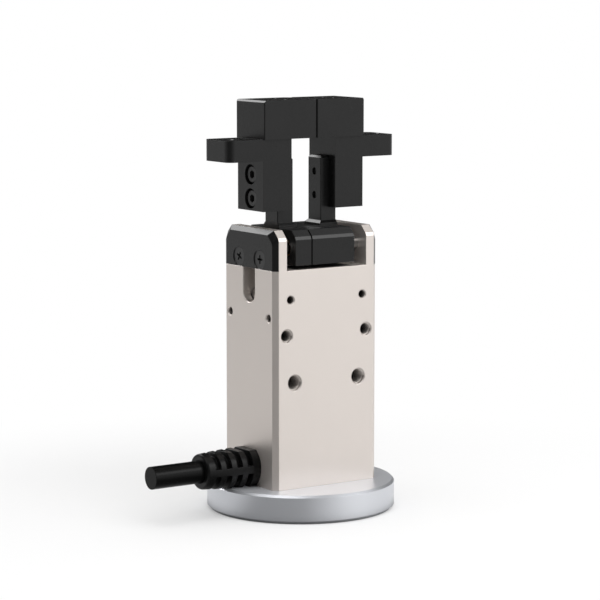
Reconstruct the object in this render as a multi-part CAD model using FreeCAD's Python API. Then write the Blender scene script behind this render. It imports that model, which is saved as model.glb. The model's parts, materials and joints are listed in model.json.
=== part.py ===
import FreeCAD, Part
import math
import os

# Lever driven two-finger gripper on a round flange. All sizes are in millimetres.
# X is the way the fingers travel, -Y is the front, Z is up, and Z = 0 is the flange's underside.
# Heights in this block that end in _level are measured from the flange's top, where the housing stands.

V = FreeCAD.Vector

# Flange
flange_diameter = 63.0
flange_thickness = 9.5
flange_top_chamfer = 0.75
flange_bottom_chamfer = 1.05
register_diameter = 31.5
register_depth = 1.0
flange_bolt_circle = 50.0
flange_bolt_core = 5.0
flange_bolt_depth = 7.0
flange_pin_diameter = 6.0
flange_pin_depth = 6.0
flange_pin_angle = 60.0

# Housing
body_width = 41.2
body_depth = 30.8
body_edge_chamfer = 1.6
saddle_level = 72.5
body_top_level = 85.6
cover_thickness = 1.6
cover_bevel = 1.5
ear_thickness = 3.2
ear_corner_cut = 2.8
ear_brow = 0.6
end_wall = 2.8
side_wall = 3.0
bay_level = 13.5
corner_column_x = 8.4
corner_column_y = 8.2
magnet_bore = 25.0
magnet_seat_level = 52.0
chamber_floor_level = 55.5
ram_bore = 13.6
lever_slot_width = 6.9
lever_slot_bottom_level = 61.0
lever_slot_bevel = 0.25

# Threaded and plain holes of the housing
upper_hole_offset = 15.8
upper_hole_level = 51.05
upper_hole_core = 4.2
upper_hole_mouth = 4.8
lower_hole_offset = 12.7
lower_hole_level = 35.4
lower_hole_core = 5.0
lower_hole_mouth = 5.6
lower_hole_depth = 6.5
end_hole_inset = 3.9
end_hole_level = 56.8
end_hole_core = 2.5
end_hole_mouth = 3.2
pivot_hole_mouth = 3.2

# M3 screws and dowels
screw_diameter = 3.0
screw_core = 2.5
cap_head_diameter = 5.5
cap_head_height = 3.0
hex_across_flats = 2.5
hex_depth = 1.5
flange_screw_inset_x = 3.0
flange_screw_inset_y = 2.9
flange_screw_length = 11.0
flange_screw_head_sink = 1.6
flange_dowel_inset_x = 5.7
flange_dowel_inset_y = 5.5
flange_dowel_diameter = 2.5
flange_dowel_length = 8.0
cover_screw_offset = 6.2
cover_screw_level = 75.7
cover_sink_diameter = 6.6
cover_screw_seat = 0.3
cover_screw_tip_gap = 0.2
cover_screw_turn = 28.0
cross_recess_length = 3.0
cross_recess_width = 0.7
cross_recess_depth = 1.0

# Jaw carriages on their two guide shafts
stroke = 4.0
stroke_margin = 0.1
carriage_recess = 1.0
carriage_bottom_level = 73.75
carriage_side_level = 82.2
carriage_brow_level = 83.25
carriage_brow_inset = 0.45
carriage_top_level = 85.2
carriage_slope_inset = 2.4
interlock_half_length = 5.5
interlock_gap = 0.5
tongue_gap = 0.2
guide_shaft_diameter = 4.0
guide_shaft_inset = 6.5
guide_shaft_level = 79.2
bush_wall = 0.8
bush_length = 4.0
bush_recess = 0.8
running_clearance = 0.03

# Posts that stand on the carriages
post_inner_x = 5.55
post_half_depth = 3.7
post_top_level = 108.45
post_top_chamfer = 0.7
post_edge_chamfer = 0.2
post_foot_height = 0.85
post_flare = 0.9

# Finger blocks
leg_inner_x = 8.7
leg_outer_x = 19.85
leg_half_depth = 7.6
leg_bottom_level = 91.3
head_half_depth = 8.45
head_bottom_level = 114.85
head_top_level = 127.5
head_chamfer = 0.6
head_corner_chamfer = 0.25
seam_offset = 0.75
seam_gap = 0.1
seam_chamfer = 0.35
seam_notch = 1.7
arm_end_x = 33.2
arm_thickness = 7.0
arm_corner_radius = 2.5
arm_hole_x = 29.2
arm_hole_diameter = 4.3
head_hole_x = 9.6
head_hole_spacing = 6.0
head_hole_depth = 7.0
block_screw_low_level = 95.25
block_screw_spacing = 7.9
block_screw_length = 10.0
block_screw_head_sink = 0.6
counterbore_diameter = 6.7
slip_fit = 0.05

# Levers that tie the ram to the carriages
pivot_x = 14.3
pivot_level = 62.85
pivot_pin_diameter = 2.5
pivot_pin_sink = 4.0
lever_thickness = 5.8
lever_boss_diameter = 6.4
lever_tip_x = 8.5
lever_tip_height = 13.3
lever_tip_diameter = 4.0
lever_neck_width = 2.0
lever_root_width = 4.4
notch_clearance = 0.15
notch_depth = 5.9
notch_mouth_chamfer = 0.6
fork_half_height = 3.1
fork_reach = 2.4
fork_shoulder = 1.5
drive_pin_diameter = 3.0
drive_pin_clearance = 0.06

# Electromagnet and its ram
yoke_wall = 1.8
yoke_plate = 2.5
yoke_clearance = 0.1
magnet_length = 36.2
pole_diameter = 9.2
pole_plate = 3.0
pole_length = 13.0
bobbin_wall = 1.0
bobbin_end = 1.2
coil_clearance = 0.4
ram_diameter = 9.2
ram_clearance = 0.15
ram_air_gap = 0.25
ram_head_diameter = 12.8
ram_head_bottom_level = 54.9
ram_head_top_level = 64.6
ram_slot_width = 6.1
ram_slot_floor_level = 56.3
spring_wire = 0.6
spring_turns = 3
spring_steps = 24
spring_clearance = 0.3
spring_end_gap = 0.05
snap_ring_thickness = 1.0
snap_ring_depth = 0.7
snap_ring_width = 2.4
snap_ring_opening = 40.0

# Terminal board
board_end_clearance = 0.6
board_side_clearance = 0.3
board_thickness = 1.2
board_screw_end_margin = 1.8
board_screw_side_margin = 2.7
board_screw_diameter = 2.0
board_screw_length = 3.6
board_screw_head = 3.6
board_screw_head_height = 1.2
board_screw_play = 0.2
plug_x = -8.0
plug_length = 4.5
plug_height = 4.5
plug_side_margin = 1.9
chip_size = 6.0
chip_height = 1.1
capacitor_x = 9.8
capacitor_diameter = 3.6
capacitor_height = 4.0
capacitor_spacing = 5.2

# Strain relief and cable
cable_level = 6.25
cable_diameter = 7.5
cable_inner_end_x = 12.0
cable_outer_end_x = 58.7
relief_root_diameter = 14.5
relief_mouth_diameter = 11.8
relief_length = 19.65
relief_mouth_round = 0.6
relief_flat_half_height = 5.95
relief_bottom_gap = 0.1
relief_collar_length = 2.9
relief_window_width = 2.0
relief_window_pitch = 3.95
relief_window_count = 4
relief_window_floor = 9.4
relief_rib_width = 2.4
relief_neck_diameter = 9.0
relief_lip_diameter = 10.2
relief_lip_thickness = 1.5
relief_bore_gap = 0.05

# Places worked out from the sizes above
half_width = body_width / 2
half_depth = body_depth / 2
ear_outer_x = half_width - cover_thickness
ear_inner_x = ear_outer_x - ear_thickness
carriage_end_x = ear_inner_x - stroke - stroke_margin
chamber_end_x = half_width - end_wall
bay_end_x = half_width - side_wall
bay_half_depth = half_depth - corner_column_y
end_hole_offset = half_depth - end_hole_inset
guide_shaft_offset = half_depth - guide_shaft_inset
carriage_half_depth = half_depth - carriage_recess
board_end_x = bay_end_x - board_end_clearance
board_half_width = bay_half_depth - board_side_clearance
block_screw_levels = (block_screw_low_level, block_screw_low_level + block_screw_spacing)
tip_rise = lever_tip_height
tip_run = pivot_x - lever_tip_x
tip_radius_of_swing = math.hypot(tip_run, tip_rise)
lean_closed = math.asin(tip_run / tip_radius_of_swing)
lean_open = math.asin((tip_run - stroke) / tip_radius_of_swing)
swing = lean_closed - lean_open
ram_drop = pivot_x * math.tan(swing / 2)
drive_pin_level = pivot_level - ram_drop


def level(height):
    """Turns a height above the flange's top into a Z value."""
    return flange_thickness + height


def block(x0, x1, y0, y1, z0, z1):
    return Part.makeBox(x1 - x0, y1 - y0, z1 - z0, V(x0, y0, z0))


def rod(diameter, start, end):
    """A round bar between two points."""
    axis = V(*end) - V(*start)
    return Part.makeCylinder(diameter / 2, axis.Length, V(*start), axis)


def tube(outer, inner, start, end):
    return rod(outer, start, end).cut(rod(inner, start, end))


def prism(points, sweep):
    """Extrudes a closed outline by the vector sweep."""
    corners = [V(*p) for p in points]
    return Part.Face(Part.makePolygon(corners + corners[:1])).extrude(V(*sweep))


def turned(profile, base, axis=(0, 0, 1)):
    """Revolves (radius, height) points about an axis through base."""
    outline = [V(r, 0, h) for r, h in profile]
    solid = Part.Face(Part.makePolygon(outline + outline[:1])).revolve(V(0, 0, 0), V(0, 0, 1), 360)
    solid.Placement = FreeCAD.Placement(V(*base), FreeCAD.Rotation(V(0, 0, 1), V(*axis)))
    return solid


def hole(core, mouth, start, end, through=False):
    """A drilled hole from start to end with a countersunk mouth, or two where it goes through."""
    axis = V(*end) - V(*start)
    bevel = (mouth - core) / 2
    tool = rod(core, start, end)
    tool = tool.fuse(Part.makeCone(mouth / 2, core / 2, bevel, V(*start), axis))
    if through:
        tool = tool.fuse(Part.makeCone(mouth / 2, core / 2, bevel, V(*end), axis * -1))
    return tool


def hexagon(across_flats, centre, direction, depth):
    """A hexagonal bar that starts at centre and runs along an axis direction."""
    radius = across_flats / math.sqrt(3)
    corners = []
    for k in range(6):
        angle = math.radians(60 * k)
        corners.append(V(radius * math.cos(angle), radius * math.sin(angle), 0))
    bar = Part.Face(Part.makePolygon(corners + corners[:1])).extrude(V(0, 0, depth))
    bar.Placement = FreeCAD.Placement(V(*centre), FreeCAD.Rotation(V(0, 0, 1), V(*direction)))
    return bar


def is_upright(edge):
    ends = edge.Vertexes
    if len(ends) < 2:
        return False
    run = ends[1].Point - ends[0].Point
    return abs(run.x) < 1e-6 and abs(run.y) < 1e-6


def chamfered(shape, size, chosen):
    return shape.makeChamfer(size, [edge for edge in shape.Edges if chosen(edge)])


def half_turn(shape):
    """The twin of a piece on the other side, turned by 180 degrees about the middle axis."""
    twin = shape.copy()
    twin.rotate(V(0, 0, 0), V(0, 0, 1), 180)
    return twin


def cap_screw(seat, direction, length):
    """A socket head cap screw: seat is under its head, and direction runs from the head to the tip."""
    way = V(*direction)
    under = V(*seat)
    top = under - way * cap_head_height
    head = chamfered(Part.makeCylinder(cap_head_diameter / 2, cap_head_height, top, way), 0.2,
                     lambda edge: edge.CenterOfMass.distanceToPoint(top) < 1e-6)
    shank = Part.makeCylinder(screw_core / 2, length, under, way)
    socket = hexagon(hex_across_flats, tuple(top), direction, hex_depth)
    return head.fuse(shank).cut(socket)


def save(name, shape):
    """Writes one sub-part, after dropping seams that fusing has left."""
    whole = shape.removeSplitter()
    whole.exportStep(os.path.join("parts", name + ".step"))
    print(name, "valid" if whole.isValid() else "NOT VALID", "solids", len(whole.Solids),
          "volume", round(whole.Volume, 1))


# Flange with its register, threads and screw seats


def four_places(x, y):
    return [(side * x, face * y) for side in (-1, 1) for face in (-1, 1)]


flange_screw_places = four_places(half_width - flange_screw_inset_x, half_depth - flange_screw_inset_y)
dowel_x = half_width - flange_dowel_inset_x
dowel_y = half_depth - flange_dowel_inset_y
flange_dowel_places = [(-dowel_x, dowel_y), (dowel_x, -dowel_y)]
board_screw_places = four_places(board_end_x - board_screw_end_margin, board_half_width - board_screw_side_margin)
flange_head_seat = flange_screw_head_sink + cap_head_height


def make_flange():
    radius = flange_diameter / 2
    disc = turned([(0, 0), (radius - flange_bottom_chamfer, 0), (radius, flange_bottom_chamfer),
                   (radius, flange_thickness - flange_top_chamfer),
                   (radius - flange_top_chamfer, flange_thickness), (0, flange_thickness)], (0, 0, 0))
    disc = disc.cut(rod(register_diameter, (0, 0, 0), (0, 0, register_depth)))
    for k in range(4):
        angle = math.radians(90 * k)
        x = flange_bolt_circle / 2 * math.cos(angle)
        y = flange_bolt_circle / 2 * math.sin(angle)
        disc = disc.cut(hole(flange_bolt_core, flange_bolt_core + 1.0, (x, y, 0), (x, y, flange_bolt_depth)))
    angle = math.radians(flange_pin_angle)
    x = flange_bolt_circle / 2 * math.cos(angle)
    y = flange_bolt_circle / 2 * math.sin(angle)
    disc = disc.cut(rod(flange_pin_diameter, (x, y, 0), (x, y, flange_pin_depth)))
    for x, y in flange_screw_places:
        disc = disc.cut(rod(counterbore_diameter, (x, y, 0), (x, y, flange_head_seat)))
        disc = disc.cut(rod(screw_diameter + 0.4, (x, y, 0), (x, y, flange_thickness)))
    for x, y in flange_dowel_places:
        start = flange_thickness - flange_dowel_length / 2
        disc = disc.cut(rod(flange_dowel_diameter, (x, y, start), (x, y, flange_thickness)))
    return disc


def make_flange_screws():
    return Part.makeCompound([cap_screw((x, y, flange_head_seat), (0, 0, 1), flange_screw_length)
                              for x, y in flange_screw_places])


def make_flange_dowels():
    reach = flange_dowel_length / 2
    return Part.makeCompound([rod(flange_dowel_diameter, (x, y, flange_thickness - reach),
                                  (x, y, flange_thickness + reach)) for x, y in flange_dowel_places])


# Housing: a square column with a board bay, a magnet bore, a lever chamber and two ears

def ear_outline(x, inset=0.0, top_inset=0.0):
    """The corners of an ear's side face: 45 degree cuts at the top, each with a steep brow under it."""
    y = half_depth - inset
    top = level(body_top_level) - top_inset
    cut = ear_corner_cut
    step = ear_brow / math.sqrt(2)
    half = [(y, level(saddle_level)), (y, top - cut - ear_brow), (y - step, top - cut + step), (y - cut, top)]
    return [(x, -w, z) for w, z in half] + [(x, w, z) for w, z in reversed(half)]


def lever_slot(x0, x1):
    """The slot in an end wall: straight sides over a half-round bottom."""
    radius = lever_slot_width / 2
    centre = level(lever_slot_bottom_level) + radius
    slot = block(x0, x1, -radius, radius, centre, level(saddle_level))
    return slot.fuse(rod(lever_slot_width, (x0, 0, centre), (x1, 0, centre)))


def lever_slot_rim(side):
    """The small bevel round the mouth of the slot in one outer face."""
    narrow = lever_slot_width / 2
    wide = narrow + lever_slot_bevel
    centre = level(lever_slot_bottom_level) + narrow
    face, inside = side * half_width, side * (half_width - lever_slot_bevel)
    rim = prism([(face, -wide, centre), (face, wide, centre), (inside, narrow, centre), (inside, -narrow, centre)],
                (0, 0, level(saddle_level) - centre))
    return rim.fuse(Part.makeCone(wide, narrow, lever_slot_bevel, V(face, 0, centre), V(-side, 0, 0)))


def make_housing():
    column = block(-half_width, half_width, -half_depth, half_depth, level(0), level(saddle_level))
    column = chamfered(column, body_edge_chamfer, is_upright)
    for side in (-1, 1):
        x0, x1 = sorted((side * ear_inner_x, side * ear_outer_x))
        column = column.fuse(prism(ear_outline(x0), (x1 - x0, 0, 0)))
    column = column.removeSplitter()
    # board bay, which leaves a column of metal in each corner
    inner_y = half_depth - side_wall
    column = column.cut(block(-bay_end_x, bay_end_x, -bay_half_depth, bay_half_depth, level(0), level(bay_level)))
    column = column.cut(block(corner_column_x - half_width, half_width - corner_column_x, -inner_y, inner_y,
                              level(0), level(bay_level)))
    # magnet bore with its snap ring groove, and the smaller bore for the ram's head
    column = column.cut(rod(magnet_bore, (0, 0, level(bay_level)), (0, 0, level(magnet_seat_level))))
    groove_top = level(magnet_seat_level) - magnet_length
    column = column.cut(rod(magnet_bore + 2 * snap_ring_depth, (0, 0, groove_top - snap_ring_thickness - 0.1),
                            (0, 0, groove_top)))
    column = column.cut(rod(ram_bore, (0, 0, level(magnet_seat_level)), (0, 0, level(saddle_level))))
    # lever chamber and the slots in both end walls
    slot = lever_slot_width / 2
    column = column.cut(block(-chamber_end_x, chamber_end_x, -slot, slot,
                              level(chamber_floor_level), level(saddle_level)))
    column = column.cut(lever_slot(-half_width, -chamber_end_x)).cut(lever_slot(chamber_end_x, half_width))
    for y in (-end_hole_offset, end_hole_offset):
        z = level(end_hole_level)
        column = column.cut(hole(end_hole_core, end_hole_mouth, (-half_width, y, z), (half_width, y, z), True))
    for side in (-1, 1):
        column = column.cut(lever_slot_rim(side)).cut(housing_side_holes(side))
        x, z = side * upper_hole_offset, level(upper_hole_level)
        column = column.cut(hole(upper_hole_core, upper_hole_mouth, (x, -half_depth, z), (x, half_depth, z), True))
        x, z = side * pivot_x, level(pivot_level)
        column = column.cut(hole(pivot_pin_diameter, pivot_hole_mouth, (x, -half_depth, z), (x, half_depth, z), True))
        # blind threads, larger in the front than in the rear
        x, z = side * lower_hole_offset, level(lower_hole_level)
        for face, core, mouth in ((-1, lower_hole_core, lower_hole_mouth), (1, upper_hole_core, upper_hole_mouth)):
            column = column.cut(hole(core, mouth, (x, face * half_depth, z),
                                     (x, face * (half_depth - lower_hole_depth), z)))
    for x, y in flange_screw_places:
        tip = flange_head_seat + flange_screw_length + 1.0
        column = column.cut(rod(screw_core, (x, y, level(0)), (x, y, tip)))
    for x, y in flange_dowel_places:
        column = column.cut(rod(flange_dowel_diameter, (x, y, level(0)), (x, y, level(flange_dowel_length / 2))))
    for x, y in board_screw_places:
        depth = board_screw_length - board_thickness
        column = column.cut(rod(board_screw_diameter, (x, y, level(bay_level)), (x, y, level(bay_level + depth))))
    return column.cut(rod(relief_neck_diameter, (-half_width, 0, level(cable_level)),
                          (side_wall - half_width, 0, level(cable_level))))


cover_sink_depth = (cover_sink_diameter - screw_core) / 2


def housing_side_holes(side):
    """The holes of one ear: the shaft seats and the cover's threads."""
    tools = []
    for y in (-guide_shaft_offset, guide_shaft_offset):
        z = level(guide_shaft_level)
        tools.append(rod(guide_shaft_diameter, (side * ear_outer_x, y, z), (side * ear_inner_x, y, z)))
    for y in (-cover_screw_offset, cover_screw_offset):
        z = level(cover_screw_level)
        tools.append(rod(screw_core, (side * ear_outer_x, y, z), (side * ear_inner_x, y, z)))
        sink = cover_sink_depth - cover_thickness
        if sink > 0:
            tools.append(Part.makeCone(screw_core / 2 + sink, screw_core / 2, sink,
                                       V(side * ear_outer_x, y, z), V(-side, 0, 0)))
    return Part.makeCompound(tools)


# End covers, which close the guide shafts in

def make_end_cover():
    """The cover on the -X side; the other one is its twin."""
    back = Part.makePolygon([V(*p) for p in ear_outline(-ear_outer_x) + ear_outline(-ear_outer_x)[:1]])
    rim_x = cover_bevel - half_width
    rim = Part.makePolygon([V(*p) for p in ear_outline(rim_x) + ear_outline(rim_x)[:1]])
    face_outline = ear_outline(-half_width, cover_bevel, cover_bevel)
    face = Part.makePolygon([V(*p) for p in face_outline + face_outline[:1]])
    land = Part.makeLoft([back, rim], True, True)
    plate = land.fuse(Part.makeLoft([rim, face], True, True))
    for y in (-cover_screw_offset, cover_screw_offset):
        z = level(cover_screw_level)
        plate = plate.cut(Part.makeCone(cover_sink_diameter / 2, screw_core / 2, cover_sink_depth,
                                        V(-half_width, y, z), V(1, 0, 0)))
        plate = plate.cut(rod(screw_core, (-half_width, y, z), (-ear_outer_x, y, z)))
    return plate


def countersunk_screw(y, turn):
    """A screw on the -X side, with its head a little under the cover's face. turn is its cross recess's angle."""
    z = level(cover_screw_level)
    top_x = cover_screw_seat - half_width
    head_height = cover_sink_depth - cover_screw_seat
    screw = Part.makeCone(cover_sink_diameter / 2 - cover_screw_seat, screw_core / 2, head_height,
                          V(top_x, y, z), V(1, 0, 0))
    screw = screw.fuse(rod(screw_core, (top_x, y, z), (-ear_inner_x - cover_screw_tip_gap, y, z)))
    long, short = cross_recess_length / 2, cross_recess_width / 2
    for dy, dz in ((long, short), (short, long)):
        recess = block(top_x, top_x + cross_recess_depth, y - dy, y + dy, z - dz, z + dz)
        recess.rotate(V(0, y, z), V(1, 0, 0), turn)
        screw = screw.cut(recess)
    return screw


def make_end_cover_screws():
    left = [countersunk_screw(-cover_screw_offset, 0.0), countersunk_screw(cover_screw_offset, cover_screw_turn)]
    return Part.makeCompound(left + [half_turn(screw) for screw in left])


def make_guide_shaft(side):
    y, z = side * guide_shaft_offset, level(guide_shaft_level)
    return rod(guide_shaft_diameter, (-ear_outer_x, y, z), (ear_outer_x, y, z))


# Jaw carriages: each has a full-depth end and a half-depth tongue that passes the other one's

bush_bore = guide_shaft_diameter + 2 * bush_wall
seam_x = interlock_half_length
tongue_end_x = seam_x - interlock_gap


def carriage_profile(x):
    side, top = carriage_half_depth, level(carriage_top_level)
    brow = side - carriage_brow_inset
    crest = side - carriage_slope_inset
    half = [(side, level(carriage_bottom_level)), (side, level(carriage_side_level)),
            (brow, level(carriage_brow_level)), (crest, top)]
    return [(x, y, z) for y, z in half] + [(x, -y, z) for y, z in reversed(half)]


def make_post():
    """The post on the right carriage, with a flared foot. Its outer face is flush with the carriage's end."""
    foot_top = level(carriage_top_level) + post_foot_height
    shank = block(post_inner_x, carriage_end_x, -post_half_depth, post_half_depth,
                  level(carriage_top_level), level(post_top_level))
    shank = chamfered(shank, post_top_chamfer, lambda edge: edge.BoundBox.ZMin > level(post_top_level) - 1e-6)
    shank = chamfered(shank, post_edge_chamfer, is_upright)
    reach, wide = post_inner_x - post_flare, post_half_depth + post_flare
    foot = block(reach, carriage_end_x, -wide, wide, level(carriage_top_level), foot_top)
    lower = [V(reach, -wide, foot_top), V(carriage_end_x, -wide, foot_top),
             V(carriage_end_x, wide, foot_top), V(reach, wide, foot_top)]
    neck = foot_top + post_flare
    upper = [V(post_inner_x, -post_half_depth, neck), V(carriage_end_x, -post_half_depth, neck),
             V(carriage_end_x, post_half_depth, neck), V(post_inner_x, post_half_depth, neck)]
    flare = Part.makeLoft([Part.makePolygon(lower + lower[:1]), Part.makePolygon(upper + upper[:1])], True, True)
    return shank.fuse(foot).fuse(flare)


def make_right_carriage():
    bottom, top = level(carriage_bottom_level), level(carriage_top_level)
    bar = prism(carriage_profile(-tongue_end_x), (carriage_end_x + tongue_end_x, 0, 0))
    away = block(-tongue_end_x, seam_x, -tongue_gap / 2, carriage_half_depth, bottom, top)
    carriage = bar.cut(away).fuse(make_post())
    # notch for the lever's tip, open below
    half = lever_tip_diameter / 2 + notch_clearance
    wide = lever_slot_width / 2
    notch = block(lever_tip_x - half, lever_tip_x + half, -wide, wide, bottom, bottom + notch_depth)
    lip = half + notch_mouth_chamfer
    notch = notch.fuse(prism([(lever_tip_x - lip, -wide, bottom), (lever_tip_x + lip, -wide, bottom),
                              (lever_tip_x + half, -wide, bottom + notch_mouth_chamfer),
                              (lever_tip_x - half, -wide, bottom + notch_mouth_chamfer)], (0, 2 * wide, 0)))
    carriage = carriage.cut(notch)
    for y in (-guide_shaft_offset, guide_shaft_offset):
        z = level(guide_shaft_level)
        carriage = carriage.cut(rod(bush_bore, (-tongue_end_x, y, z), (carriage_end_x, y, z)))
    for height in block_screw_levels:
        carriage = carriage.cut(rod(screw_core, (post_inner_x, 0, level(height)), (carriage_end_x, 0, level(height))))
    return carriage


def make_right_bushes():
    """Two bushes on the front shaft, in the long tongue, and one on the rear shaft."""
    z = level(guide_shaft_level)
    outer_end = carriage_end_x - bush_recess
    tongue_start = bush_recess - tongue_end_x
    spans = [(-guide_shaft_offset, tongue_start, tongue_start + bush_length),
             (-guide_shaft_offset, outer_end - bush_length, outer_end),
             (guide_shaft_offset, outer_end - bush_length, outer_end)]
    bore = guide_shaft_diameter + 2 * running_clearance
    return Part.makeCompound([tube(bush_bore, bore, (x0, y, z), (x1, y, z)) for y, x0, x1 in spans])


# Finger blocks: leg, side arm and overhanging head in one piece

block_pocket_x = carriage_end_x + slip_fit
screw_seat_x = leg_outer_x - block_screw_head_sink - cap_head_height


def make_finger_block(head_inner_x, notched_side):
    """The block on the +X side. Its head meets the other one at head_inner_x, with a notch on the notched side."""
    arm_bottom = level(head_bottom_level - arm_thickness)
    under_head = level(head_bottom_level)
    leg = block(leg_inner_x, leg_outer_x, -leg_half_depth, leg_half_depth, level(leg_bottom_level), under_head)
    arm = block(leg_outer_x, arm_end_x, -leg_half_depth, leg_half_depth, arm_bottom, under_head)
    arm = arm.makeFillet(arm_corner_radius, [edge for edge in arm.Edges
                                             if is_upright(edge) and edge.CenterOfMass.x > arm_end_x - 1e-6])
    head = block(head_inner_x, leg_outer_x, -head_half_depth, head_half_depth, under_head, level(head_top_level))
    head = chamfered(head, head_chamfer, lambda edge: edge.BoundBox.XMin > head_inner_x + 1e-6
                     and edge.BoundBox.ZMin > under_head + 1e-6)
    head = chamfered(head, head_corner_chamfer, lambda edge: is_upright(edge)
                     and edge.BoundBox.XMin > head_inner_x + 1e-6)
    for side, size in ((-notched_side, seam_chamfer), (notched_side, seam_notch)):
        head = chamfered(head, size, lambda edge: is_upright(edge) and edge.BoundBox.XMax < head_inner_x + 1e-6
                         and edge.CenterOfMass.y * side > 0)
    body = leg.fuse(arm).fuse(head)
    half = post_half_depth + slip_fit
    body = body.cut(block(leg_inner_x, block_pocket_x, -half, half, level(leg_bottom_level),
                          level(post_top_level) + slip_fit))
    for height in block_screw_levels:
        z = level(height)
        body = body.cut(rod(screw_diameter + 0.4, (block_pocket_x, 0, z), (leg_outer_x, 0, z)))
        body = body.cut(rod(counterbore_diameter, (screw_seat_x, 0, z), (leg_outer_x, 0, z)))
    body = body.cut(hole(arm_hole_diameter, arm_hole_diameter + 0.6, (arm_hole_x, 0, arm_bottom),
                         (arm_hole_x, 0, under_head), True))
    top = level(head_top_level)
    for y in (-head_hole_spacing / 2, head_hole_spacing / 2):
        body = body.cut(hole(screw_core, end_hole_mouth, (head_hole_x, y, top),
                             (head_hole_x, y, top - head_hole_depth)))
    return body


def make_right_block_screws():
    return Part.makeCompound([cap_screw((screw_seat_x, 0, level(height)), (-1, 0, 0), block_screw_length)
                              for height in block_screw_levels])


# Levers: an upper arm with a round tip, and a forked inner arm that takes the drive pin

def make_right_lever():
    """The lever that pivots at +X. Its fork fills the rear half, and its twin's fills the front half."""
    px, pz = pivot_x, level(pivot_level)
    half = lever_thickness / 2
    boss = rod(lever_boss_diameter, (px, -half, pz), (px, half, pz))
    tip_x, tip_z = lever_tip_x, pz + lever_tip_height
    # unit vectors along the upper arm and across it
    ux, uz = (tip_x - px) / tip_radius_of_swing, lever_tip_height / tip_radius_of_swing
    root, neck = lever_root_width / 2, lever_neck_width / 2
    arm = prism([(px + uz * root, -half, pz - ux * root), (tip_x + uz * neck, -half, tip_z - ux * neck),
                 (tip_x - uz * neck, -half, tip_z + ux * neck), (px - uz * root, -half, pz + ux * root)],
                (0, lever_thickness, 0))
    tip = rod(lever_tip_diameter, (tip_x, -half, tip_z), (tip_x, half, tip_z))
    # the inner arm is drawn level, then tipped to its closed angle
    reach = pivot_x / math.cos(swing / 2)
    fork_end = px - reach - fork_reach
    shoulder_x = px - reach + fork_reach + fork_shoulder
    inner = prism([(px, 0, pz - lever_boss_diameter / 2), (px, 0, pz + lever_boss_diameter / 2),
                   (shoulder_x, 0, pz + fork_half_height), (fork_end, 0, pz + fork_half_height),
                   (fork_end, 0, pz - fork_half_height), (shoulder_x, 0, pz - fork_half_height)],
                  (0, lever_thickness, 0))
    inner.translate(V(0, -half, 0))
    inner = inner.cut(block(fork_end, shoulder_x, -half, tongue_gap / 2,
                            pz - fork_half_height, pz + fork_half_height))
    slot = drive_pin_diameter / 2 + drive_pin_clearance
    slot_end = px - reach + drive_pin_diameter / 2
    inner = inner.cut(block(fork_end, slot_end, -half, half, pz - slot, pz + slot))
    inner = inner.cut(rod(2 * slot, (slot_end, -half, pz), (slot_end, half, pz)))
    inner.rotate(V(px, 0, pz), V(0, 1, 0), -math.degrees(swing / 2))
    lever = boss.fuse(arm).fuse(tip).fuse(inner)
    return lever.cut(rod(pivot_pin_diameter + 2 * running_clearance, (px, -half, pz), (px, half, pz)))


def make_pivot_pins():
    y, z = half_depth - pivot_pin_sink, level(pivot_level)
    return Part.makeCompound([rod(pivot_pin_diameter, (x, -y, z), (x, y, z)) for x in (-pivot_x, pivot_x)])


# Electromagnet: yoke, pole, bobbin, coil, ram and its return spring

magnet_top = level(magnet_seat_level)
magnet_bottom = magnet_top - magnet_length
pole_top = magnet_bottom + pole_plate + pole_length
yoke_diameter = magnet_bore - 2 * yoke_clearance
yoke_bore = yoke_diameter - 2 * yoke_wall
ram_passage = ram_diameter + 2 * ram_clearance
bobbin_bottom = magnet_bottom + pole_plate
bobbin_top = magnet_top - yoke_plate


def make_yoke():
    cup = rod(yoke_diameter, (0, 0, magnet_bottom), (0, 0, magnet_top))
    cup = cup.cut(rod(yoke_bore, (0, 0, magnet_bottom), (0, 0, bobbin_top)))
    return cup.cut(rod(ram_passage, (0, 0, bobbin_top), (0, 0, magnet_top)))


def make_pole():
    plate, stem = yoke_bore / 2, pole_diameter / 2
    return turned([(0, magnet_bottom), (plate, magnet_bottom), (plate, bobbin_bottom),
                   (stem, bobbin_bottom), (stem, pole_top), (0, pole_top)], (0, 0, 0))


def make_bobbin():
    bore, core = ram_passage / 2, ram_passage / 2 + bobbin_wall
    rim = yoke_bore / 2 - coil_clearance
    return turned([(bore, bobbin_bottom), (rim, bobbin_bottom), (rim, bobbin_bottom + bobbin_end),
                   (core, bobbin_bottom + bobbin_end), (core, bobbin_top - bobbin_end),
                   (rim, bobbin_top - bobbin_end), (rim, bobbin_top), (bore, bobbin_top)], (0, 0, 0))


def make_coil():
    core = ram_passage / 2 + bobbin_wall
    outer = yoke_bore / 2 - 2 * coil_clearance
    return tube(2 * outer, 2 * core, (0, 0, bobbin_bottom + bobbin_end), (0, 0, bobbin_top - bobbin_end))


def make_ram():
    rod_radius, head_radius = ram_diameter / 2, ram_head_diameter / 2
    bottom, head_bottom, head_top = pole_top + ram_air_gap, level(ram_head_bottom_level), level(ram_head_top_level)
    bevel = 0.5
    ram = turned([(0, bottom), (rod_radius, bottom), (rod_radius, head_bottom), (head_radius, head_bottom),
                  (head_radius, head_top - bevel), (head_radius - bevel, head_top), (0, head_top)], (0, 0, 0))
    slot = ram_slot_width / 2
    ram = ram.cut(block(-head_radius, head_radius, -slot, slot, level(ram_slot_floor_level), head_top))
    z = level(drive_pin_level)
    return ram.cut(rod(drive_pin_diameter, (0, -head_radius, z), (0, head_radius, z)))


def make_drive_pin():
    y = math.sqrt((ram_head_diameter / 2) ** 2 - (drive_pin_diameter / 2) ** 2)
    return rod(drive_pin_diameter, (0, -y, level(drive_pin_level)), (0, y, level(drive_pin_level)))


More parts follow.
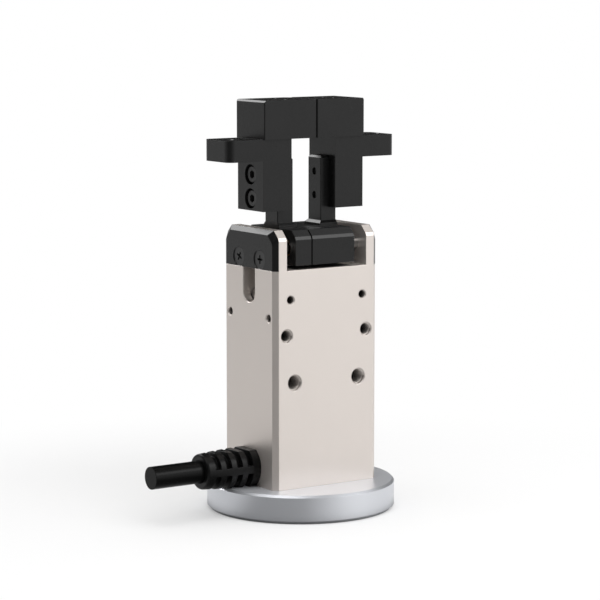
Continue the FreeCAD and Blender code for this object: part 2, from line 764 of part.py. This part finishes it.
def make_return_spring():
    """A compression spring of square wire round the ram, bent from short straight lengths."""
    half = spring_wire / 2
    inner = ram_diameter / 2 + spring_clearance
    outer = inner + spring_wire
    low = magnet_top + half + spring_end_gap
    rise = level(ram_head_bottom_level) - half - spring_end_gap - low
    count = spring_turns * spring_steps
    bends = []
    for k in range(count + 1):
        angle = 2 * math.pi * k / spring_steps
        z = low + rise * k / count
        bends.append([V(r * math.cos(angle), r * math.sin(angle), h)
                      for r, h in ((inner, z - half), (outer, z - half), (outer, z + half), (inner, z + half))])
    corners = [end + end[:1] for end in (bends[0], bends[-1])]
    for near, far in zip(bends, bends[1:]):
        for a in range(4):
            b = (a + 1) % 4
            corners.append([near[a], near[b], far[b], near[a]])
            corners.append([near[a], far[b], far[a], near[a]])
    return Part.Solid(Part.Shell([Part.Face(Part.makePolygon(points)) for points in corners]))


def make_snap_ring():
    outer = magnet_bore / 2 + snap_ring_depth
    inner = outer - snap_ring_width
    top = magnet_bottom
    ring = tube(2 * outer, 2 * inner, (0, 0, top - snap_ring_thickness), (0, 0, top))
    reach = 2 * outer
    half = math.radians(snap_ring_opening / 2)
    gap = prism([(0, 0, top - snap_ring_thickness),
                 (reach * math.cos(half), -reach * math.sin(half), top - snap_ring_thickness),
                 (reach * math.cos(half), reach * math.sin(half), top - snap_ring_thickness)],
                (0, 0, snap_ring_thickness))
    return ring.cut(gap)


# Terminal board under the roof of the bay

board_bottom = level(bay_level) - board_thickness


def make_terminal_board():
    board = block(-board_end_x, board_end_x, -board_half_width, board_half_width, board_bottom, level(bay_level))
    for x, y in board_screw_places:
        board = board.cut(rod(board_screw_diameter + board_screw_play, (x, y, board_bottom),
                              (x, y, level(bay_level))))
    return board


def make_board_components():
    """The plug-in block for the cable's wires, the driver chip and two capacitors, under the board."""
    low = board_bottom
    wide = board_half_width - plug_side_margin
    plug = block(plug_x, plug_x + plug_length, -wide, wide, low - plug_height, low)
    chip = block(0, chip_size, -chip_size / 2, chip_size / 2, low - chip_height, low)
    capacitors = [rod(capacitor_diameter, (capacitor_x, y, low - capacitor_height), (capacitor_x, y, low))
                  for y in (-capacitor_spacing / 2, capacitor_spacing / 2)]
    return Part.makeCompound([plug, chip] + capacitors)


def make_board_screws():
    screws = []
    for x, y in board_screw_places:
        shank = rod(board_screw_diameter, (x, y, board_bottom), (x, y, board_bottom + board_screw_length))
        head = rod(board_screw_head, (x, y, board_bottom - board_screw_head_height), (x, y, board_bottom))
        screws.append(shank.fuse(head))
    return Part.makeCompound(screws)


# Strain relief with four rows of windows, and the cable through it

def make_strain_relief():
    z = level(cable_level)
    wall_x = -half_width
    mouth_x = wall_x - relief_length
    lip_x = wall_x + side_wall
    root, mouth, bend = relief_root_diameter / 2, relief_mouth_diameter / 2, relief_mouth_round
    # outside form, turned about the cable: (radius, distance from the housing's wall)
    sleeve = turned([(0, 0), (root, 0), (root, relief_collar_length), (mouth, relief_length - bend),
                     (mouth - 0.3 * bend, relief_length - 0.3 * bend), (mouth - bend, relief_length),
                     (0, relief_length)], (wall_x, 0, z), (-1, 0, 0))
    sleeve = sleeve.common(block(mouth_x, wall_x, -root, root, flange_thickness + relief_bottom_gap,
                                 z + relief_flat_half_height))
    for k in range(relief_window_count):
        x0 = wall_x - relief_collar_length - k * relief_window_pitch
        ring = tube(2 * relief_root_diameter, relief_window_floor, (x0, 0, z), (x0 - relief_window_width, 0, z))
        rib = block(x0 - relief_window_width, x0, -root, root, z - relief_rib_width / 2, z + relief_rib_width / 2)
        sleeve = sleeve.cut(ring.cut(rib))
    neck = rod(relief_neck_diameter, (wall_x, 0, z), (lip_x, 0, z))
    lip = rod(relief_lip_diameter, (lip_x, 0, z), (lip_x + relief_lip_thickness, 0, z))
    relief = sleeve.fuse(neck).fuse(lip)
    return relief.cut(rod(cable_diameter + 2 * relief_bore_gap, (mouth_x, 0, z),
                          (lip_x + relief_lip_thickness, 0, z)))


def make_cable():
    z = level(cable_level)
    return rod(cable_diameter, (-cable_outer_end_x, 0, z), (-cable_inner_end_x, 0, z))


os.makedirs("parts", exist_ok=True)

save("mounting_flange", make_flange())
save("flange_screws", make_flange_screws())
save("flange_dowels", make_flange_dowels())
save("housing", make_housing())
left_end_cover = make_end_cover()
save("left_end_cover", left_end_cover)
save("right_end_cover", half_turn(left_end_cover))
save("end_cover_screws", make_end_cover_screws())
save("front_guide_shaft", make_guide_shaft(-1))
save("rear_guide_shaft", make_guide_shaft(1))
right_carriage = make_right_carriage()
save("right_carriage", right_carriage)
save("left_carriage", half_turn(right_carriage))
right_bushes = make_right_bushes()
save("right_carriage_bushes", right_bushes)
save("left_carriage_bushes", half_turn(right_bushes))
save("right_finger_block", make_finger_block(seam_offset + seam_gap / 2, 1))
save("left_finger_block", half_turn(make_finger_block(seam_gap / 2 - seam_offset, -1)))
right_block_screws = make_right_block_screws()
save("right_block_screws", right_block_screws)
save("left_block_screws", half_turn(right_block_screws))
right_lever = make_right_lever()
save("right_lever", right_lever)
save("left_lever", half_turn(right_lever))
save("lever_pivot_pins", make_pivot_pins())
save("magnet_yoke", make_yoke())
save("magnet_pole", make_pole())
save("coil_bobbin", make_bobbin())
save("coil_winding", make_coil())
save("ram", make_ram())
save("drive_pin", make_drive_pin())
save("return_spring", make_return_spring())
save("snap_ring", make_snap_ring())
save("terminal_board", make_terminal_board())
save("board_components", make_board_components())
save("board_screws", make_board_screws())
save("strain_relief", make_strain_relief())
save("cable", make_cable())
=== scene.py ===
import json
import math

import bmesh
import bpy
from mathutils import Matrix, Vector


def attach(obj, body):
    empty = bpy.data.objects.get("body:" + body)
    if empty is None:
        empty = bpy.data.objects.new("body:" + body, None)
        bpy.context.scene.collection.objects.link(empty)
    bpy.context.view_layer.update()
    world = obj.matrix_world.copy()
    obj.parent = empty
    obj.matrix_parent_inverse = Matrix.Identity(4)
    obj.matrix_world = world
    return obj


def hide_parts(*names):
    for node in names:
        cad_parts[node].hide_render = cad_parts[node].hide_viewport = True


# The looks of an electromagnetic two-finger gripper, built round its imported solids. All sizes are in metres.

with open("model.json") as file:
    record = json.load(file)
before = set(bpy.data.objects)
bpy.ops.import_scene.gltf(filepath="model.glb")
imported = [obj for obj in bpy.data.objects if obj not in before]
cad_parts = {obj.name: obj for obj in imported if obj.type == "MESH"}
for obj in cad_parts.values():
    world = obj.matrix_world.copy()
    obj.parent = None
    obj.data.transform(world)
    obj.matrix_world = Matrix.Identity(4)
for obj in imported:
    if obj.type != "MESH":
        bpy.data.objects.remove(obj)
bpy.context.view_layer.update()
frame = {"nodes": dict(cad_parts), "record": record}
nodes = frame["nodes"]
MM = 0.001

# Camera and cable

CAMERA_PLACE = Vector((-0.45947, -0.67684, 0.17704))
CAMERA_TARGET = Vector((-0.00017, 0.00011, 0.06969))
CAMERA_LENS_MM = 148.07
SENSOR_MM = 36.0


def make_camera():
    data = bpy.data.cameras.new("camera")
    data.lens = CAMERA_LENS_MM
    data.sensor_width = SENSOR_MM
    data.clip_start = 0.01
    camera = bpy.data.objects.new("camera", data)
    camera.location = CAMERA_PLACE
    camera.rotation_euler = (CAMERA_TARGET - CAMERA_PLACE).to_track_quat("-Z", "Y").to_euler()
    bpy.context.scene.collection.objects.link(camera)
    bpy.context.scene.camera = camera


make_camera()
bpy.context.scene.view_settings.view_transform = "Standard"

CABLE_LEVEL = 15.75 * MM
CABLE_DIAMETER = 7.5 * MM
CABLE_INNER_X = -12.0 * MM
CABLE_OUTER_X = -58.7 * MM
CABLE_MIDDLE_X = (-27.5 * MM, -43.0 * MM)
# a curve's box grows by its points' radius, so that radius is small and the bevel is as much larger
POINT_RADIUS = 0.1 * MM


def make_cable():
    """The cable is straight as far as the photograph shows it, and its end is cut square."""
    data = bpy.data.curves.new("cable_sheath", "CURVE")
    data.dimensions = "3D"
    spline = data.splines.new("NURBS")
    route = [(x, 0.0, CABLE_LEVEL) for x in (CABLE_INNER_X, *CABLE_MIDDLE_X, CABLE_OUTER_X)]
    spline.points.add(len(route) - 1)
    for point, place in zip(spline.points, route):
        point.co = (*place, 1.0)
        point.radius = POINT_RADIUS
    spline.order_u = 3
    spline.use_endpoint_u = True
    data.bevel_depth = CABLE_DIAMETER / 2 / POINT_RADIUS
    data.bevel_resolution = 16
    data.use_fill_caps = True
    cable = bpy.data.objects.new("cable_sheath", data)
    bpy.context.scene.collection.objects.link(cable)
    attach(cable, "base")
    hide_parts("cable")
    return cable


cable = make_cable()


# Threads in the tapped holes of the housing's front and rear

HOUSING_HALF_DEPTH = 15.4 * MM
THREAD_DEPTH = 6.3 * MM
THREAD_STEPS = 40
THREAD_HEIGHT = 0.36 * MM
THREAD_SINK = 0.03 * MM
# shares of the pitch: where the ridge starts, what it leaves free at both ends, and half its width
THREAD_START = 0.7
THREAD_ENDS = 1.2
THREAD_HALF_WIDTH = 0.36
# name, face along Y, core diameter, pitch, offset to each side, height
TAPPED_ROWS = (
    ("front_upper", -1, 4.2 * MM, 0.8 * MM, 15.8 * MM, 60.55 * MM),
    ("front_lower", -1, 5.0 * MM, 1.0 * MM, 12.7 * MM, 44.9 * MM),
    ("rear_upper", 1, 4.2 * MM, 0.8 * MM, 15.8 * MM, 60.55 * MM),
    ("rear_lower", 1, 4.2 * MM, 0.8 * MM, 12.7 * MM, 44.9 * MM),
)


def make_thread(name, face, core, pitch, x, z):
    """A helical ridge on the wall of a tapped hole, from a little inside its mouth."""
    root = core / 2 + THREAD_SINK
    crest = core / 2 - THREAD_HEIGHT
    half_width = THREAD_HALF_WIDTH * pitch
    profile = ((root, -half_width), (crest, 0.0), (root, half_width))
    steps = int(THREAD_DEPTH / pitch * THREAD_STEPS)
    shrink = 1 - THREAD_ENDS * pitch / THREAD_DEPTH
    made = bmesh.new()
    rings = []
    for k in range(steps + 1):
        angle = 2 * math.pi * k / THREAD_STEPS
        depth = THREAD_START * pitch + pitch * k / THREAD_STEPS * shrink
        ring = []
        for radius, along in profile:
            y = face * (HOUSING_HALF_DEPTH - depth - along)
            ring.append(made.verts.new((x + radius * math.cos(angle), y, z + radius * math.sin(angle))))
        rings.append(ring)
    for near, far in zip(rings, rings[1:]):
        for a in range(3):
            b = (a + 1) % 3
            made.faces.new((near[a], near[b], far[b], far[a]))
    made.faces.new(rings[0])
    made.faces.new(rings[-1])
    bmesh.ops.recalc_face_normals(made, faces=made.faces)
    data = bpy.data.meshes.new(name)
    made.to_mesh(data)
    made.free()
    thread = bpy.data.objects.new(name, data)
    bpy.context.scene.collection.objects.link(thread)
    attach(thread, "base")
    return thread


threads = []
for row, face, core, pitch, offset, z in TAPPED_ROWS:
    for side, x in (("left", -offset), ("right", offset)):
        threads.append(make_thread(side + "_" + row + "_thread", face, core, pitch, x, z))


# Shader building blocks

class Graph:
    """A node tree filled by short calls: values go to sockets, and other nodes' outputs are linked."""

    def __init__(self, owner):
        owner.use_nodes = True
        self.tree = owner.node_tree
        self.tree.nodes.clear()

    def fill(self, node, values):
        for key, value in values.items():
            if isinstance(value, bpy.types.NodeSocket):
                self.tree.links.new(value, node.inputs[key])
            else:
                node.inputs[key].default_value = value

    def add(self, kind, inputs=None, output=0, **settings):
        made = self.tree.nodes.new("ShaderNode" + kind)
        for name, value in settings.items():
            setattr(made, name, value)
        self.fill(made, inputs or {})
        return made.outputs[output]

    def maths(self, operation, a, b=0.0, clamp=False):
        return self.add("Math", {0: a, 1: b}, operation=operation, use_clamp=clamp)

    def vector(self, operation, a, b, output=0):
        return self.add("VectorMath", {0: a, 1: b}, output=output, operation=operation)

    def ramp(self, value, low, high, to_low, to_high, kind="SMOOTHSTEP"):
        return self.add("MapRange", {"Value": value, "From Min": low, "From Max": high,
                                     "To Min": to_low, "To Max": to_high}, interpolation_type=kind)

    def blend(self, factor, a, b):
        mixed = self.tree.nodes.new("ShaderNodeMix")
        mixed.data_type = "RGBA"
        # the colour sockets of this node
        self.fill(mixed, {0: factor, 6: a, 7: b})
        return mixed.outputs[2]

    def place(self):
        return self.add("TexCoord", output=3)

    def noise(self, where, scale, detail=2.0, roughness=0.5):
        return self.add("TexNoise", {"Vector": where, "Scale": scale, "Detail": detail,
                                     "Roughness": roughness})

    def bumped(self, height, distance, strength, edge):
        rounded = self.add("Bevel", {"Radius": edge}, samples=6)
        return self.add("Bump", {"Height": height, "Distance": distance, "Strength": strength,
                                 "Normal": rounded})

    def surface(self, shader):
        out = self.tree.nodes.new("ShaderNodeOutputMaterial")
        self.tree.links.new(shader, out.inputs["Surface"])


def tone(colour, factor):
    return (*(channel * factor for channel in colour), 1.0)


# shares of the fine grain and of the larger clouds in a material's variation
FINE_SHARE = 0.6
CLOUD_SHARE = 0.4
CLOUD_SCALE = 90.0
NOISE_SPAN = (0.3, 0.7)
BUMP_STRENGTH = 0.6
# painted shade: narrow gaps and holes are painted darker than open faces, and made duller, in full below the
# first openness
PAINTED_SHADE_SPAN = (0.08, 0.42)
DEEP_DULLS = 0.3


def finished(name, colour, roughness, metallic, grain, edge=0.08 * MM, spread=0.06, rough_spread=0.05,
             bump=0.004 * MM, specular=0.5, where=None, painted_shade_reach=3.0 * MM, painted_shade_tone=0.45):
    """A material with fine grain: small steps in tone, gloss and height, over larger clouds, with painted
    shade that darkens its holes and narrow gaps.
    """
    material = bpy.data.materials.new(name)
    graph = Graph(material)
    place = where(graph) if where else graph.place()
    fine = graph.noise(place, grain, 3.0, 0.6)
    cloud = graph.noise(graph.place(), CLOUD_SCALE, 2.0)
    mixed = graph.maths("ADD", graph.maths("MULTIPLY", fine, FINE_SHARE),
                        graph.maths("MULTIPLY", cloud, CLOUD_SHARE))
    shade = graph.blend(graph.ramp(mixed, *NOISE_SPAN, 0.0, 1.0, "LINEAR"),
                        tone(colour, 1 - spread), tone(colour, 1 + spread))
    gloss = graph.ramp(mixed, *NOISE_SPAN, roughness - rough_spread, roughness + rough_spread, "LINEAR")
    normal = graph.bumped(fine, bump, BUMP_STRENGTH, edge)
    # painted shade: an ambient occlusion mask darkens the colour in holes and narrow gaps
    openness = graph.add("AmbientOcclusion", {"Distance": painted_shade_reach}, output=1, samples=8)
    painted_shade_mask = graph.ramp(openness, *PAINTED_SHADE_SPAN, 1.0, 0.0)
    shade = graph.blend(painted_shade_mask, shade, tone(colour, painted_shade_tone))
    gloss = graph.maths("ADD", gloss, graph.maths("MULTIPLY", painted_shade_mask, DEEP_DULLS), clamp=True)
    metal = metallic(graph) if callable(metallic) else metallic
    graph.surface(graph.add("BsdfPrincipled", {"Base Color": shade, "Roughness": gloss, "Normal": normal,
                                               "Metallic": metal, "Specular IOR Level": specular}))
    return material


def stretched(x, y, z):
    """Coordinates that draw the grain out: a small factor along one axis makes long lines there."""
    def where(graph):
        return graph.vector("MULTIPLY", graph.place(), (x, y, z))
    return where


def turned(radial, upright):
    """Coordinates for a turned face: distance from the Z axis and height, so that the grain runs round."""
    def where(graph):
        place = graph.place()
        flat = graph.vector("MULTIPLY", place, (1.0, 1.0, 0.0))
        radius = graph.vector("LENGTH", flat, (0.0, 0.0, 0.0), output=1)
        height = graph.add("SeparateXYZ", {"Vector": place}, output=2)
        return graph.add("CombineXYZ", {"X": graph.maths("MULTIPLY", radius, radial),
                                        "Y": graph.maths("MULTIPLY", height, upright)})
    return where


# face directions over which the painted top shade fades in
TOP_SPAN = (0.8, 0.95)
WIRE_PITCH = 0.45 * MM


def painted_top_shade_metallic(side, top):
    """The metallic share of a disc, lower on its upward face: shade painted by face direction, so that the
    upper face looks less bright than its turned side.
    """
    def share(graph):
        upward = graph.add("SeparateXYZ", {"Vector": graph.add("TexCoord", output=1)}, output=2)
        return graph.ramp(upward, *TOP_SPAN, side, top)
    return share


def wound_copper():
    """Turns of enamelled wire, laid one above the other, with painted shade between the turns and a painted
    highlight on each turn's crown.
    """
    material = bpy.data.materials.new("enamelled_copper_wire")
    graph = Graph(material)
    height = graph.add("SeparateXYZ", {"Vector": graph.place()}, output=2)
    turn = graph.maths("FRACT", graph.maths("DIVIDE", height, WIRE_PITCH))
    crown = graph.maths("SINE", graph.maths("MULTIPLY", turn, math.pi))
    # painted shade and highlight: dark colour between the turns, light colour on each crown
    shade = graph.blend(crown, (0.12, 0.03, 0.01, 1.0), (0.55, 0.22, 0.08, 1.0))
    normal = graph.bumped(crown, 0.15 * MM, 1.0, 0.05 * MM)
    graph.surface(graph.add("BsdfPrincipled", {"Base Color": shade, "Normal": normal, "Metallic": 0.7,
                                               "Roughness": 0.3, "Coat Weight": 0.4, "Coat Roughness": 0.2}))
    return material


def green_laminate():
    """A circuit board: solder resist over tracks that show as slightly raised, lighter lines."""
    material = bpy.data.materials.new("green_laminate")
    graph = Graph(material)
    place = graph.place()
    tracks = graph.add("TexBrick", {"Vector": place, "Scale": 260.0, "Mortar Size": 0.06}, output=1)
    weave = graph.noise(place, 3000.0)
    shade = graph.blend(tracks, (0.02, 0.16, 0.06, 1.0), (0.06, 0.28, 0.1, 1.0))
    height = graph.maths("ADD", tracks, graph.maths("MULTIPLY", weave, 0.3))
    normal = graph.bumped(height, 0.02 * MM, 0.6, 0.08 * MM)
    graph.surface(graph.add("BsdfPrincipled", {"Base Color": shade, "Normal": normal, "Roughness": 0.3}))
    return material


MATERIALS = {
    # the anodised housing's holes and gaps get the darkest painted shade, over the longest reach
    "anodised_aluminium": finished("satin_warm_aluminium", (0.695, 0.64, 0.60), 0.4, 0.8, 9000.0, spread=0.02,
                                   rough_spread=0.03, edge=0.26 * MM, painted_shade_reach=5.0 * MM, painted_shade_tone=0.1),
    # the flange's upward face gets painted shade through a lower metallic share
    "flange_aluminium": finished("turned_cool_aluminium", (0.675, 0.69, 0.725), 0.36,
                                 painted_top_shade_metallic(0.8, 0.52), 1.0, spread=0.015, rough_spread=0.02,
                                 bump=0.0006 * MM, where=turned(6000.0, 6000.0)),
    "black_aluminium": finished("black_anodised", (0.005, 0.005, 0.005), 0.28, 0.0, 7000.0, spread=0.2,
                                rough_spread=0.03, bump=0.002 * MM, specular=0.31),
    "ground_steel": finished("ground_steel", (0.6, 0.6, 0.6), 0.22, 1.0, 6000.0,
                             where=stretched(1.0, 0.2, 0.2)),
    "bright_steel": finished("bright_steel", (0.62, 0.61, 0.6), 0.28, 1.0, 5000.0),
    "black_oxide_steel": finished("black_oxide", (0.014, 0.014, 0.014), 0.38, 0.0, 7000.0, spread=0.25,
                                  edge=0.1 * MM),
    "hardened_steel": finished("hardened_steel", (0.42, 0.4, 0.38), 0.35, 1.0, 4000.0,
                               where=stretched(1.0, 1.0, 0.15)),
    "soft_iron": finished("nickel_plated_iron", (0.5, 0.5, 0.48), 0.28, 1.0, 1.0,
                          where=turned(5000.0, 5000.0)),
    "bearing_bronze": finished("sintered_bronze", (0.34, 0.23, 0.13), 0.42, 1.0, 5000.0, spread=0.15,
                               bump=0.01 * MM),
    "enamelled_copper": wound_copper(),
    "bobbin_nylon": finished("glass_filled_nylon", (0.72, 0.7, 0.62), 0.5, 0.0, 4000.0),
    "board_laminate": green_laminate(),
    "component_plastic": finished("moulded_black_plastic", (0.02, 0.02, 0.022), 0.5, 0.0, 5000.0, spread=0.2),
    "relief_rubber": finished("black_rubber", (0.0035, 0.0035, 0.0035), 0.3, 0.0, 5000.0, edge=0.3 * MM,
                              spread=0.2, bump=0.003 * MM, specular=0.18),
    "cable_sheath": finished("black_cable_sheath", (0.002, 0.002, 0.002), 0.27, 0.0, 4500.0, edge=0.3 * MM,
                             spread=0.2, bump=0.003 * MM, specular=0.1),
}


def dress_nodes():
    for row in frame["record"]["subparts"]:
        mesh = nodes[row["node"]].data
        mesh.materials.clear()
        mesh.materials.append(MATERIALS[row["material_slot"]])
    cable.data.materials.append(MATERIALS["cable_sheath"])
    for thread in threads:
        thread.data.materials.append(MATERIALS["anodised_aluminium"])


dress_nodes()

# Floor, backdrop and light

FLOOR_RADIUS = 0.5
FLOOR_SHARE = 0.25
FLOOR_FADE_FROM = 0.08
FLOOR_FADE_TO = 0.19
FLOOR_COLOUR = (0.79, 0.79, 0.79, 1.0)
# painted shadow: metal sees the floor's glow darker beside the flange, from one radius to the other
PAINTED_CONTACT_SHADOW = (0.031, 0.042)
PAINTED_CONTACT_SHADOW_TONE = 0.25

# The room as metal sees it. Low down it is brighter on some sides: azimuth, inner and outer half width,
# strength
LOW_BASE = 0.22
LOW_SIDES = (
    (-36.0, 35.0, 92.0, 0.68),
    (118.0, 42.0, 80.0, 0.61),
    (45.0, 18.0, 48.0, 0.35),
)
HORIZON = (-0.04, 0.04)
# Soft boxes hang above: azimuth and elevation of the middle, inner and outer half width, strength
HIGH_BASE = 0.04
SOFT_BOXES = (
    (-50.0, 24.0, 10.0, 36.0, 2.0),
    (-50.0, 36.0, 6.0, 15.0, 5.5),
    (-4.0, 58.0, 10.0, 28.0, 0.8),
    (99.0, 36.0, 9.0, 26.0, 5.2),
    (-158.0, 61.0, 8.0, 30.0, 2.2),
)
ROOM_FOR_DIFFUSE = 0.75


def glow(graph, way, azimuth, elevation, inner, outer, strength):
    """A soft round patch of light in the direction given, for a unit vector from the object."""
    a, e = math.radians(azimuth), math.radians(elevation)
    middle = (math.cos(a) * math.cos(e), math.sin(a) * math.cos(e), math.sin(e))
    near = graph.vector("DOT_PRODUCT", way, middle, output=1)
    return graph.ramp(near, math.cos(math.radians(outer)), math.cos(math.radians(inner)), 0.0, strength)


def low_light(graph, way):
    """The level that shiny surfaces see near the floor, from the way's horizontal direction."""
    level = graph.vector("NORMALIZE", graph.vector("MULTIPLY", way, (1.0, 1.0, 0.0)), (0.0, 0.0, 0.0))
    total = LOW_BASE
    for azimuth, inner, outer, strength in LOW_SIDES:
        total = graph.maths("ADD", total, glow(graph, level, azimuth, 0.0, inner, outer, strength))
    return total


def straight_rays(graph, path):
    """Rays of the camera, also behind clear surfaces."""
    return graph.maths("ADD", path.outputs["Is Camera Ray"], path.outputs["Is Transmission Ray"], clamp=True)


def make_floor():
    data = bpy.data.meshes.new("floor")
    made = bmesh.new()
    bmesh.ops.create_circle(made, cap_ends=True, segments=128, radius=FLOOR_RADIUS)
    made.to_mesh(data)
    made.free()
    floor = bpy.data.objects.new("floor", data)
    bpy.context.scene.collection.objects.link(floor)
    material = bpy.data.materials.new("pale_floor")
    graph = Graph(material)
    path = graph.tree.nodes.new("ShaderNodeLightPath")
    place = graph.place()
    reach = graph.vector("LENGTH", place, (0.0, 0.0, 0.0), output=1)
    far = graph.ramp(reach, FLOOR_FADE_FROM, FLOOR_FADE_TO, FLOOR_SHARE, 1.0)
    glossy = path.outputs["Is Glossy Ray"]
    straight = straight_rays(graph, path)
    share = graph.maths("ADD", graph.maths("MULTIPLY", straight, far), glossy, clamp=True)
    # the floor glows for reflections with the room's low light, and with painted shadow beside the flange
    under = graph.maths("MULTIPLY", low_light(graph, place), graph.ramp(reach, *PAINTED_CONTACT_SHADOW, PAINTED_CONTACT_SHADOW_TONE, 1.0))
    strength = graph.maths("ADD", straight, graph.maths("MULTIPLY", glossy, under))
    lit = graph.add("BsdfDiffuse", {"Color": FLOOR_COLOUR})
    white = graph.add("Emission", {"Color": (1.0, 1.0, 1.0, 1.0), "Strength": strength})
    mixed = graph.tree.nodes.new("ShaderNodeMixShader")
    graph.tree.links.new(share, mixed.inputs[0])
    graph.tree.links.new(lit, mixed.inputs[1])
    graph.tree.links.new(white, mixed.inputs[2])
    graph.surface(mixed.outputs[0])
    data.materials.append(material)


def make_world():
    world = bpy.data.worlds.new("studio")
    bpy.context.scene.world = world
    graph = Graph(world)
    path = graph.tree.nodes.new("ShaderNodeLightPath")
    way = graph.add("TexCoord", output=0)
    height = graph.add("SeparateXYZ", {"Vector": way}, output=2)
    above = graph.ramp(height, *HORIZON, 0.0, HIGH_BASE)
    for azimuth, elevation, inner, outer, strength in SOFT_BOXES:
        above = graph.maths("MAXIMUM", above, glow(graph, way, azimuth, elevation, inner, outer, strength))
    below = graph.maths("MULTIPLY", low_light(graph, way), graph.ramp(height, *HORIZON, 1.0, 0.0))
    straight = straight_rays(graph, path)
    gloss = graph.maths("MULTIPLY", path.outputs["Is Glossy Ray"], graph.maths("MAXIMUM", above, below))
    plain = graph.maths("MULTIPLY", path.outputs["Is Diffuse Ray"], ROOM_FOR_DIFFUSE)
    strength = graph.maths("MAXIMUM", graph.maths("ADD", gloss, plain), straight)
    shader = graph.add("Background", {"Color": (1.0, 1.0, 1.0, 1.0), "Strength": strength})
    out = graph.tree.nodes.new("ShaderNodeOutputWorld")
    graph.tree.links.new(shader, out.inputs["Surface"])


# Lamps: place, size and power
LAMPS = {
    "top_light": ((0.0, -0.15, 0.75), 0.8, 2.9),
    "front_light": ((0.08, -0.75, 0.38), 0.7, 3.4),
}


def make_lamps():
    for name, (place, size, power) in LAMPS.items():
        data = bpy.data.lights.new(name, "AREA")
        data.size = size
        data.energy = power
        lamp = bpy.data.objects.new(name, data)
        lamp.location = place
        lamp.rotation_euler = (CAMERA_TARGET - Vector(place)).to_track_quat("-Z", "Y").to_euler()
        lamp.visible_glossy = False
        bpy.context.scene.collection.objects.link(lamp)


make_floor()
make_world()
make_lamps()
